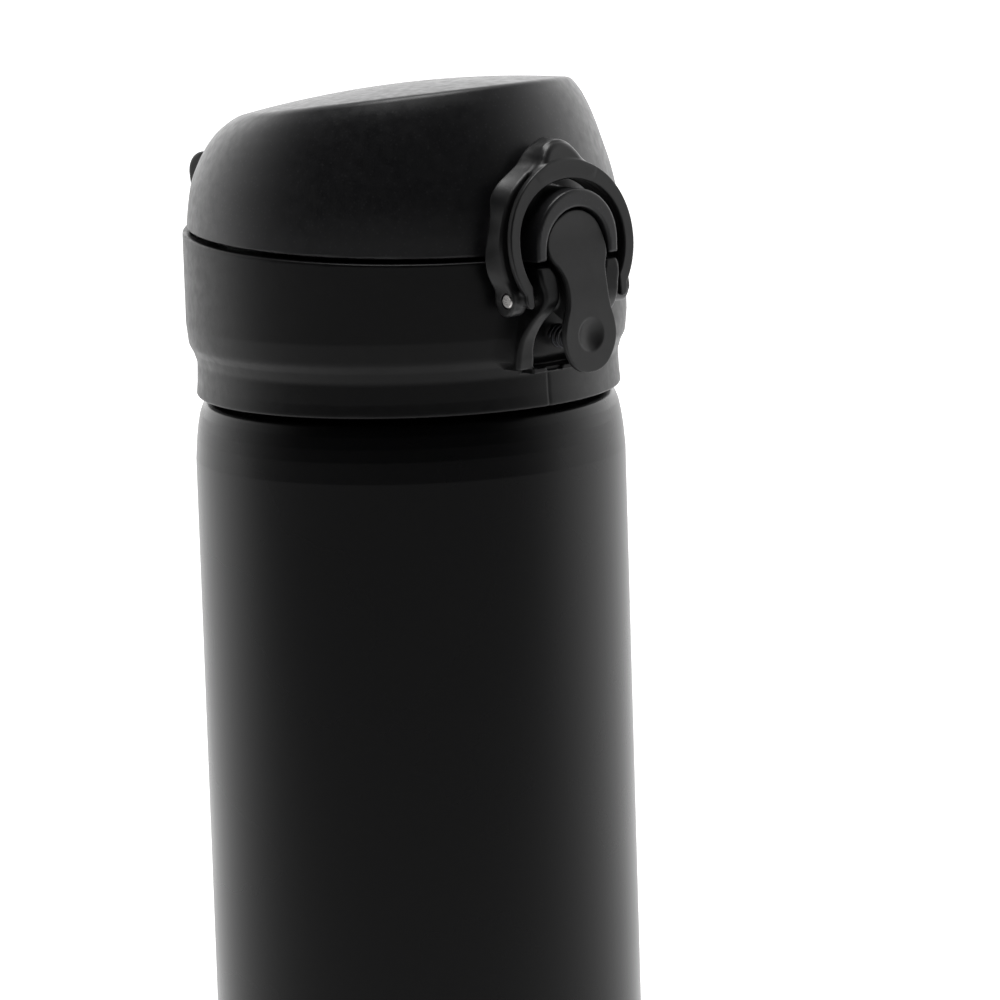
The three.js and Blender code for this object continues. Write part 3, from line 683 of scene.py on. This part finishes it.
ring_front = Outline(ring_loop(arc(0, 24.5, 11.9, 90, -34.6, 60) + [(9.78, 17.0), (9.68, 16.4), (9.42, 15.98), (9.05, 15.8), (8.7, 15.85), (8.45, 16.1)]))
ring_mid = Outline(ring_loop(arc(0, 24.5, 11.0, 90, -38.0, 60) + [(8.9, 16.8)]))
ring_face = Outline(ring_loop(smooth_open([
    (0, 39.1), (1.2, 38.95), (2.4, 38.35), (3.3, 37.35), (3.95, 36.4), (4.75, 35.65), (6.4, 34.65), (8.6, 32.95), (10.2, 31.1), (11.2, 29.2), (11.95, 27.4), (12.3, 25.6),
    (12.35, 23.8), (12.1, 21.4), (11.6, 19.6), (11.15, 18.2), (11.0, 17.0)])))
ring_rear = Outline(ring_loop(smooth_open([
    (0, 39.3), (1.9, 38.65), (3.45, 37.8), (4.5, 36.9), (5.6, 35.85), (7.1, 34.95), (9.2, 33.7), (10.4, 32.6), (11.1, 31.4), (11.35, 29.7),
    (11.85, 27.6), (12.5, 25.5), (13.0, 23.6), (13.0, 21.4), (12.35, 19.5), (11.4, 18.1), (11.3, 17.0)])))


def ring_fn(x, y, z):
    ax = np.abs(x)
    yl = y - 0.094 * (z - 25.5)
    slope = np.clip((z - 33.6) / 5.6, 0, 1)
    face = -37.2 + 1.25 * slope * slope
    front = smax(smax(ring_front(x, z), face - yl, 0.2), yl - face - 1.0, 0.3)
    mid = smax(ring_mid(x, z), np.abs(yl + 35.9) - 0.9, 0.1)
    # the flange widens a little from its face to its back
    t = np.clip((yl + 35.4) / 2.8, 0, 1)
    rear = ring_face(x, z) * (1 - t) + ring_rear(x, z) * t
    rear = smax(rear, np.abs(yl + 33.95) - 1.55, 0.45)
    d = smin(smin(front, mid, 0.3), rear, 0.3)
    # thumb tab: its face is the front band's own, run out to the tip
    tab = smax(smax(ring_face(x, z) + 0.05, (face + 0.13 - yl) * 0.95, 1.05), yl + 33.0, 0.5)
    tab = smax(tab, smax(ax - 5.6 - np.clip((z - 33.5), 0, 1.5) * 0.4, 33.0 - z, 1.0), 0.8)
    d = smin(d, tab, 0.3)
    boss = smax((np.hypot((y + 34.75) / 0.84, z - PIN[1]) - 2.4) * 0.9, np.abs(ax - 9.95) - 1.36, 0.4)
    d = smin(d, boss, 0.9)
    d = np.maximum(d, -(np.hypot(y - PIN[0], z - PIN[1]) - 1.14))
    return d


fine = 1.0
implicit("lock_ring_fine", ring_fn, (-14.0, -39.3, 13.9), (14.0, -30.6, 40.2), 0.17 * fine, M_RING, "ring", ["lock_ring"])
implicit("latch_lever_fine", lever_fn, (-6.4, -41.4, 4.9), (6.4, -32.4, 30.2), 0.16 * fine, M_LEVER, "lever", ["latch_lever"])
implicit("lid_shell_fine", lid_fn, (-33.0, -39.2, 21.6), (33.0, 39.0, 47.6), 0.34 * fine, M_LID, "lid", ["lid_shell"])
implicit("collar_fine", collar_fn, (-33.6, -39.9, -0.6), (33.6, 39.0, 34.8), 0.30 * fine, M_COLLAR, "cap", ["collar"])


# ------------------------------------------------------------------ turned parts
def turned(name, points, n, material, body, replaced, base=ZC, closed=None):
    v, f = lathe(points, n, closed, base)
    return make_object(name, v, f, material, body, replaced)


def with_base(points):
    return [(r, z if len(rest) < 2 or not rest[1] else z - ZC, rest[0] if rest else 0) for r, z, *rest in points]


shell_pts = with_base([
    (27.4, 3.2, 0, 1), (27.4, 0.9, 0.3, 1), (28.2, 0.4, 0.4, 1), (29.6, 0.4, 0.8, 1), (R_ := 32.0, 0.9, 2.6, 1), (32.0, -9.4, 2.0), (31.75, -6.3, 2.5), (31.5, -4.4, 2.0),
    (31.15, -2.6, 1.6), (30.6, -1.15, 1.2), (29.4, -0.55, 1.2), (27.6, -0.25, 2.0), (25.0, 0.6, 1.5), (23.5, 2.4, 1.2), (23.5, 14.7, 0), (23.0, 14.7, 0), (23.0, 2.9, 1.0), (24.2, 0.6, 0.8),
    (27.2, -1.1, 1.0), (29.1, -2.1, 0.8), (30.75, -5.0, 1.5), (31.5, -8.0, 1.0), (31.5, 3.7, 1.5, 1), (30.8, 1.6, 0.6, 1), (29.3, 0.9, 0.3, 1), (27.9, 0.9, 0.2, 1), (27.9, 3.2, 0, 1)])
turned("outer_shell_fine", shell_pts, 160, M_BODY, "flask", ["outer_shell"], closed=True)

# ridge of the neck thread, pressed into bare steel
def helix_ridge(section, z_start, turns, per_turn, a0, taper=0.12):
    steps = int(turns * per_turn)
    verts, faces, m = [], [], len(section)
    for i in range(steps + 1):
        t = i / steps
        a = a0 + 2 * math.pi * i / per_turn
        k = min(1.0, t / taper, (1 - t) / taper)
        k = max(0.02, k * k * (3 - 2 * k))
        zc = z_start + 4.0 * i / per_turn
        r0 = section[0][0]
        for r, h in section:
            rr = r0 + (r - r0) * k
            verts.append((rr * math.cos(a), rr * math.sin(a), zc + h * (0.4 + 0.6 * k) + ZC))
    for i in range(steps):
        for k in range(m):
            k2 = (k + 1) % m
            faces.append((i * m + k, i * m + k2, (i + 1) * m + k2, (i + 1) * m + k))
    faces.append(tuple(range(m)))
    faces.append(tuple(range(steps * m, steps * m + m))[::-1])
    return orient(verts, faces)


v, f = helix_ridge([(23.45, -1.0), (23.45, 1.0), (23.9, 0.85), (24.3, 0.6), (24.5, 0.25), (24.5, -0.25), (24.3, -0.6), (23.9, -0.85)], 6.2, 1.2, 72, -math.pi / 2)
make_object("neck_thread", v, f, M_STEEL, "flask", ())
turned("neck_band", [(23.56, 3.6, 0.02), (23.56, 14.72, 0.02), (23.45, 14.72, 0), (23.45, 3.6, 0)], 160, M_STEEL, "flask", ())

turned("inner_bottle_fine", with_base([
    (0, 7.0, 0, 1), (25.5, 7.0, 4, 1), (30.0, 10.2, 4, 1), (30.0, -9.5, 2.0), (28.6, -6.0, 2.0), (23.9, -2.9, 2.0), (22.4, -0.2, 1.5), (22.4, 15.0, 0), (23.5, 15.0, 0.2),
    (23.5, 15.5, 0.22), (22.0, 15.5, 0.25), (22.0, -0.4, 1.5), (23.6, -3.3, 2.0), (28.3, -6.4, 2.0), (29.6, -9.6, 2.0), (29.6, 10.5, 4, 1), (25.3, 7.4, 4, 1), (0, 7.4, 0, 1)]),
    144, M_STEEL, "flask", ["inner_bottle"])
turned("base_pad_fine", [(0, 0, 0), (21.0, 0, 0), (21.3, 0.25, 0.1), (22.3, 0.25, 0.1), (22.6, 0, 0.1), (26.2, 0, 0.5), (26.6, 0.9, 0.4), (24.6, 1.9, 0.4), (0, 1.9, 0)],
       128, M_PAD, "flask", ["base_pad"], base=0)
turned("base_plate_fine", [(0, 3.6, 0), (3.8, 3.6, 0.5), (5.2, 2.4, 0.6), (25.4, 2.4, 0.4), (27.0, 1.5, 0.2), (27.0, 3.0, 0.2), (25.6, 2.9, 0.3), (5.6, 2.9, 0.5), (4.2, 4.1, 0.4), (0, 4.1, 0)],
       96, M_STEEL, "flask", ["base_plate"], base=0)

turned("mouth_gasket_fine", [(21.1, 15.9, 0.25), (22.4, 15.75, 0.3), (24.3, 15.9, 0.3), (24.8, 16.5, 0.3), (24.8, 17.5, 0.3), (21.1, 17.5, 0.3)], 112, M_SILICONE, "cap_seal", ["mouth_gasket"])
turned("threaded_sleeve_fine", [
    (27.2, 1.9, 0.3), (27.2, 3.9, 0.3), (29.4, 3.9, 0.3), (29.4, 5.4, 0.3), (27.2, 5.4, 0.4), (27.2, 19.2, 0.4), (15.0, 19.2, 0.3), (15.0, 17.8, 0.3), (25.3, 17.8, 0.4),
    (25.3, 1.9, 0.3)], 160, M_COLLAR, "cap", ["threaded_sleeve"])
v, f = helix_ridge([(25.45, 0.8), (25.45, -0.8), (24.8, -0.65), (24.3, -0.45), (24.1, -0.2), (24.1, 0.2), (24.3, 0.45), (24.8, 0.65)], 5.2, 1.2, 72, 0.0)
make_object("sleeve_thread", v, f, M_COLLAR, "cap", ())
turned("drinking_spout_fine", [
    (12.0, 17.9, 0.3), (12.0, 31.4, 1.5), (12.45, 32.6, 0.5), (13.1, 33.0, 0.5), (13.85, 32.4, 0.6), (14.0, 30.5, 3.0), (14.9, 22.9, 1.5), (16.2, 22.2, 0.8), (20.0, 22.2, 0.3), (20.0, 19.5, 0.2),
    (19.0, 19.5, 0.2), (19.0, 21.0, 0.3), (14.7, 21.0, 0.2), (14.7, 17.9, 0.3)], 128, M_INNER, "cap", ["drinking_spout"])
turned("spout_gasket_fine", [(15.4, 19.8, 0.2), (16.6, 19.5, 0.5), (17.8, 19.8, 0.2), (17.8, 20.4, 0.2), (16.6, 20.7, 0.5), (15.4, 20.4, 0.2)], 80, M_SILICONE, "cap", ["spout_gasket"])
turned("lid_liner_fine", [
    (0, 31.4, 0), (8.0, 31.4, 0.3), (8.0, 33.0, 0.3), (5.0, 33.0, 0.3), (5.0, 35.0, 0.5), (17.0, 35.0, 0.5), (17.0, 31.0, 0.4), (18.2, 31.0, 0.4), (18.2, 35.0, 0.5), (23.0, 35.0, 0.3), (23.3, 35.3, 0.2),
    (26.0, 35.3, 0.3), (26.0, 36.4, 0.3), (0, 36.4, 0)], 128, M_INNER, "lid", ["lid_liner"])
turned("stopper_seal_fine", [
    (0, 29.45, 0), (5.5, 29.35, 4), (8.5, 29.3, 1.6), (10.4, 30.0, 1.0), (11.2, 31.5, 1.2), (11.4, 33.3, 0.5), (14.2, 33.3, 0.3), (14.2, 34.1, 0.3), (9.0, 34.7, 1.0), (5.4, 34.7, 0.2),
    (5.4, 33.4, 0.2), (8.4, 33.4, 0.2), (8.4, 31.0, 0.2), (0, 31.0, 0)], 96, M_SILICONE, "lid", ["stopper_seal"])


# ------------------------------------------------------------------ pins and springs
def pin(name, r, half, y, z, chamfer, body, replaced):
    """Steel pin along X with rounded ends."""
    v, f = lathe([(0, -half, 0), (r - chamfer, -half, 0.08), (r, -half + chamfer, 0.12), (r, half - chamfer, 0.12), (r - chamfer, half, 0.08), (0, half, 0)], 48, False, 0.0)
    v = np.stack([v[:, 2], v[:, 0] + y, v[:, 1] + z + ZC], 1)
    v, f = orient(v, f)
    return make_object(name, v, f, M_PIN, body, replaced)


pin("latch_pin_fine", 1.1, 11.38, PIN[0], PIN[1], 0.22, "cap", ["latch_pin"])
pin("hinge_pin_fine", 1.2, 9.3, HINGE[0], HINGE[1], 0.22, "cap", ["hinge_pin"])

path = []
for i in range(141):
    s = i / 140
    a = s * 4.25 * 2 * math.pi
    path.append((-2.9 + 5.8 * s, HINGE[0] + 2.15 * math.cos(a), ZC + HINGE[1] + 2.15 * math.sin(a)))
leg_low = [(-2.9, HINGE[0] + 2.15, ZC + HINGE[1] - q) for q in np.linspace(3.5, 0.3, 8)]
leg_high = [(2.9, HINGE[0] - q, ZC + HINGE[1] + 2.15) for q in np.linspace(0.3, 3.2, 8)]
v, f = tube(leg_low + path + leg_high, 0.38, 12)
lid_spring = make_object("lid_spring_fine", v, f, M_SPRING, None, ["lid_spring"])
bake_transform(lid_spring)

path = []
for i in range(141):
    s = i / 140
    a = s * 4.5 * 2 * math.pi
    lead = min(1.0, s / 0.18, (1 - s) / 0.18)
    ss = s * s * (3 - 2 * s) * 0.25 + s * 0.75
    path.append((1.55 * math.cos(a), -36.95 + 3.75 * ss, ZC + 10.6 + 1.55 * math.sin(a)))
v, f = tube(path, 0.24, 10)
latch_spring = make_object("latch_spring_fine", v, f, M_DARK_WIRE, "cap", ["latch_spring"])
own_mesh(latch_spring)

# carried-over CAD nodes inside the vacuum space
for name, material in (("radiation_foil", M_FOIL), ("vacuum_seal_bead", M_SOLDER), ("getter_pellet", M_SOLDER)):
    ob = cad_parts[name]
    ob.data.materials.clear()
    ob.data.materials.append(material)

# ------------------------------------------------------------------ camera
cam = bpy.data.cameras.new("camera")
cam.lens = 223.02
cam.sensor_width = 36.0
cam.clip_start = 0.05
cam.clip_end = 60
camera = bpy.data.objects.new("camera", cam)
bpy.context.scene.collection.objects.link(camera)
right = Vector((0.745109231, -0.66622375, -0.030953958))
up = Vector((0.134216121, 0.104322658, 0.985445491))
back = Vector((-0.653297992, -0.738419053, 0.167149743))
camera.matrix_world = Matrix(((right.x, up.x, back.x, -0.594326), (right.y, up.y, back.y, -0.691425), (right.z, up.z, back.z, 0.310772), (0, 0, 0, 1)))
bpy.context.scene.camera = camera

# ------------------------------------------------------------------ floor and light
OPEN = (-0.735, -0.678, 0.0)   # the open, unlit side of the studio, seen from the flask


def toward(nt, vector, lo, hi, v_lo, v_hi):
    """Smooth change from v_lo to v_hi as the vector's share along OPEN goes from lo to hi."""
    dot = nt.nodes.new("ShaderNodeVectorMath")
    dot.operation = "DOT_PRODUCT"
    dot.inputs[1].default_value = OPEN
    nt.links.new(vector, dot.inputs[0])
    mr = nt.nodes.new("ShaderNodeMapRange")
    mr.interpolation_type = "SMOOTHSTEP"
    for key, val in (("From Min", lo), ("From Max", hi), ("To Min", v_lo), ("To Max", v_hi)):
        mr.inputs[key].default_value = val
    nt.links.new(dot.outputs["Value"], mr.inputs["Value"])
    return mr.outputs["Result"]


me = bpy.data.meshes.new("floor")
me.from_pydata([(-14, -14, 0), (14, -14, 0), (14, 14, 0), (-14, 14, 0)], [], [(0, 1, 2, 3)])
floor = bpy.data.objects.new("floor", me)
bpy.context.scene.collection.objects.link(floor)
fm, nt, b = new_material("floor_painted_falloff")
b.inputs["Roughness"].default_value = 0.9
b.inputs["Specular IOR Level"].default_value = 0.1
b.inputs["Base Color"].default_value = (0.72, 0.72, 0.72, 1)
b.inputs["Emission Color"].default_value = (1, 1, 1, 1)
tc = nt.nodes.new("ShaderNodeTexCoord")
# painted light: the floor glows by emission, full white behind the flask and fading to none toward the open side,
# painting the falloff of studio light across it
nt.links.new(toward(nt, tc.outputs["Object"], -0.40, 0.45, 1.0, 0.0), b.inputs["Emission Strength"])
me.materials.append(fm)

world = bpy.data.worlds.new("studio")
bpy.context.scene.world = world
world.use_nodes = True
nt = world.node_tree
bg = nt.nodes["Background"]
bg.inputs["Color"].default_value = (1, 1, 1, 1)
tc = nt.nodes.new("ShaderNodeTexCoord")
side = toward(nt, tc.outputs["Generated"], -0.95, 0.56, 2.1, 0.015)
sep = nt.nodes.new("ShaderNodeSeparateXYZ")
nt.links.new(tc.outputs["Generated"], sep.inputs[0])
mr = nt.nodes.new("ShaderNodeMapRange")
mr.interpolation_type = "SMOOTHSTEP"
for key, val in (("From Min", 0.42), ("From Max", 0.75), ("To Min", 1.0), ("To Max", 0.25)):
    mr.inputs[key].default_value = val
nt.links.new(sep.outputs["Z"], mr.inputs["Value"])
mul = nt.nodes.new("ShaderNodeMath")
mul.operation = "MULTIPLY"
nt.links.new(side, mul.inputs[0])
nt.links.new(mr.outputs["Result"], mul.inputs[1])
nt.links.new(mul.outputs[0], bg.inputs["Strength"])

# one soft light above the flask and a little behind it
soft = bpy.data.lights.new("soft_top", "AREA")
soft.shape = "SQUARE"
soft.size = 0.55
soft.energy = 5.5
soft_ob = bpy.data.objects.new("soft_top", soft)
soft_ob.location = (0.04, 0.05, 1.15)
soft_ob.rotation_euler = (Vector((0.04, 0.05, 1.15)) - Vector((0, 0, 0.19))).to_track_quat("Z", "Y").to_euler()
bpy.context.scene.collection.objects.link(soft_ob)

scene = bpy.context.scene
scene.view_settings.view_transform = "Standard"
scene.view_settings.look = "None"
scene.view_settings.exposure = 0.0
scene.view_settings.gamma = 1.0
